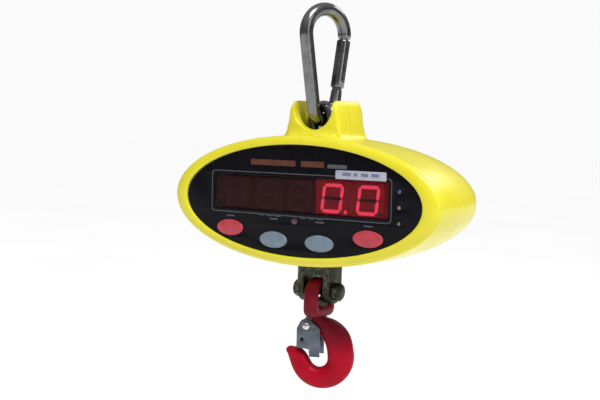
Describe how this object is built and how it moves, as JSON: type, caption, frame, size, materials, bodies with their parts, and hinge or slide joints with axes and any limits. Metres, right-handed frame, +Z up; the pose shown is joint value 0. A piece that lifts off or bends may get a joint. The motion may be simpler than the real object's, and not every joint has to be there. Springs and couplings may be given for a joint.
{
  "type": "crane scale",
  "caption": "Hanging crane scale: oval housing with lit digits and push keys, snap hook above, swivel hook with safety latch below.",
  "frame": {"origin": "the point inside the top of the snap hook's bow that bears on whatever the scale hangs from", "axes": "+Z up the load line through the eye, load cell, clevis and hook; -Y out of the display face; +X to the right of someone reading the display"},
  "size_m": [0.2534, 0.1078, 0.3163],
  "materials": {
    "zinc_plate": "bright zinc plate, lightly worn",
    "steel": "machined steel",
    "housing_yellow": "semi-gloss moulded plastic",
    "face_black": "gloss black overlay",
    "display_filter": "dark red tinted window",
    "led_module": "black face with red segments",
    "hook_red": "glossy red enamel on a forging",
    "key_red": "satin red key",
    "key_grey": "satin grey-blue key",
    "seal_rubber": "matt black rubber",
    "circuit_board": "green solder mask",
    "component_black": "moulded black plastic",
    "label_white": "printed label",
    "lamp_clear": "clear lens",
    "battery_case": "battery case"
  },
  "bodies": {
    "carabiner": {"carabiner_body": "zinc_plate", "gate_pin": "steel"},
    "gate": {"carabiner_gate": "zinc_plate", "gate_spring": "steel"},
    "housing": {"top_eye": "zinc_plate", "top_eye_nut": "steel", "load_cell": "steel", "clevis_locknut": "steel", "clevis": "steel", "clevis_bolt": "steel", "clevis_nut": "steel", "clevis_washer_left": "steel", "clevis_washer_right": "steel", "board_screw_1": "steel", "board_screw_2": "steel", "case_screw_1": "steel", "case_screw_2": "steel", "case_screw_3": "steel", "case_screw_4": "steel", "door_screw_1": "steel", "door_screw_2": "steel", "top_eye_seal": "seal_rubber", "bottom_seal": "seal_rubber", "case_gasket_left": "seal_rubber", "case_gasket_right": "seal_rubber", "panel_gasket": "seal_rubber", "load_cell_cable": "seal_rubber", "battery_lead": "seal_rubber", "front_shell": "housing_yellow", "rear_shell": "housing_yellow", "battery_door": "housing_yellow", "face_panel": "face_black", "display_lens": "display_filter", "capacity_label": "label_white", "led_digit_1": "led_module", "led_digit_2": "led_module", "led_digit_3": "led_module", "led_digit_4": "led_module", "led_digit_5": "led_module", "key_switch_1": "component_black", "key_switch_2": "component_black", "key_switch_3": "component_black", "key_switch_4": "component_black", "charger_socket": "component_black", "indicator_lamps": "lamp_clear", "ir_receiver": "lamp_clear", "display_board": "circuit_board", "amplifier_board": "circuit_board", "battery": "battery_case"},
    "power_button": {"power_button": "key_red"},
    "hold_button": {"hold_button": "key_grey"},
    "tare_button": {"tare_button": "key_grey"},
    "zero_button": {"zero_button": "key_red"},
    "cap": {"socket_cap": "seal_rubber"},
    "bail": {"swivel_bail": "hook_red"},
    "hook": {"hook": "hook_red", "hook_nut": "steel", "latch_pin": "steel", "latch_spring": "steel"},
    "latch": {"latch": "zinc_plate"}
  },
  "joints": [
    {"name": "gate_hinge", "type": "hinge", "parent": "carabiner", "child": "gate", "pos_m": [0.00438, 0.01347, -0.054], "axis": [0.9511, -0.309, 0], "range_deg": [0, 25], "stiffness_Nm_per_rad": 0.05, "springref_deg": -28.65},
    {"name": "housing_swing", "type": "hinge", "parent": "carabiner", "child": "housing", "pos_m": [0, 0, -0.085], "axis": [0.309, 0.9511, 0], "range_deg": [-20, 20]},
    {"name": "power_key_slide", "type": "slide", "parent": "housing", "child": "power_button", "axis": [0, 1, 0], "range_m": [0, 0.0008], "stiffness_N_per_m": 400, "springref_m": -0.0004},
    {"name": "hold_key_slide", "type": "slide", "parent": "housing", "child": "hold_button", "axis": [0, 1, 0], "range_m": [0, 0.0008], "stiffness_N_per_m": 400, "springref_m": -0.0004},
    {"name": "tare_key_slide", "type": "slide", "parent": "housing", "child": "tare_button", "axis": [0, 1, 0], "range_m": [0, 0.0008], "stiffness_N_per_m": 400, "springref_m": -0.0004},
    {"name": "zero_key_slide", "type": "slide", "parent": "housing", "child": "zero_button", "axis": [0, 1, 0], "range_m": [0, 0.0008], "stiffness_N_per_m": 400, "springref_m": -0.0004},
    {"name": "cap_hinge", "type": "hinge", "parent": "housing", "child": "cap", "pos_m": [0.076, 0.0678, -0.162], "axis": [-1, 0, 0], "range_deg": [0, 110]},
    {"name": "bail_swing", "type": "hinge", "parent": "housing", "child": "bail", "pos_m": [0, 0, -0.225], "axis": [1, 0, 0], "range_deg": [-50, 50]},
    {"name": "hook_swivel", "type": "hinge", "parent": "bail", "child": "hook", "pos_m": [0, 0, -0.242], "axis": [0, 0, 1], "continuous": true},
    {"name": "latch_hinge", "type": "hinge", "parent": "hook", "child": "latch", "pos_m": [-0.00799, -0.00291, -0.2543], "axis": [0.342, -0.9397, 0], "range_deg": [0, 40], "stiffness_Nm_per_rad": 0.03, "springref_deg": -34.38}
  ]
}
